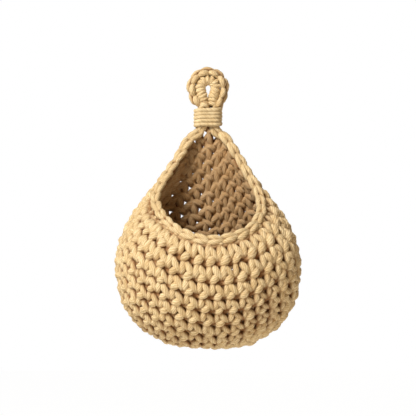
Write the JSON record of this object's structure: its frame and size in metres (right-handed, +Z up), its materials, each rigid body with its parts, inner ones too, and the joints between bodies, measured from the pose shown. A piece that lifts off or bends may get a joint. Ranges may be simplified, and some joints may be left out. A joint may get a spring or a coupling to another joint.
{
  "type": "hanging storage basket",
  "caption": "Crocheted cotton cord basket that hangs on a hook: a round soft pocket with a drop-shaped mouth, drawn up to a bound neck and a hanging loop.",
  "frame": {"origin": "top of the hanging loop's eye, where a hook bears", "axes": "+Z up, -Y to the front that the mouth faces, +Y to the wall that the flat back lies against, +X to the right seen from the front"},
  "size_m": [0.1557, 0.0952, 0.24],
  "materials": {
    "cotton_cord": "soft, matte, loosely twisted cotton",
    "fine_twisted_cord": "matte, firmly twisted cotton"
  },
  "bodies": {
    "root": {"pocket": "cotton_cord", "rim_edging": "cotton_cord", "neck_binding": "fine_twisted_cord", "loop_core": "cotton_cord", "loop_edging": "cotton_cord"}
  },
  "joints": []
}
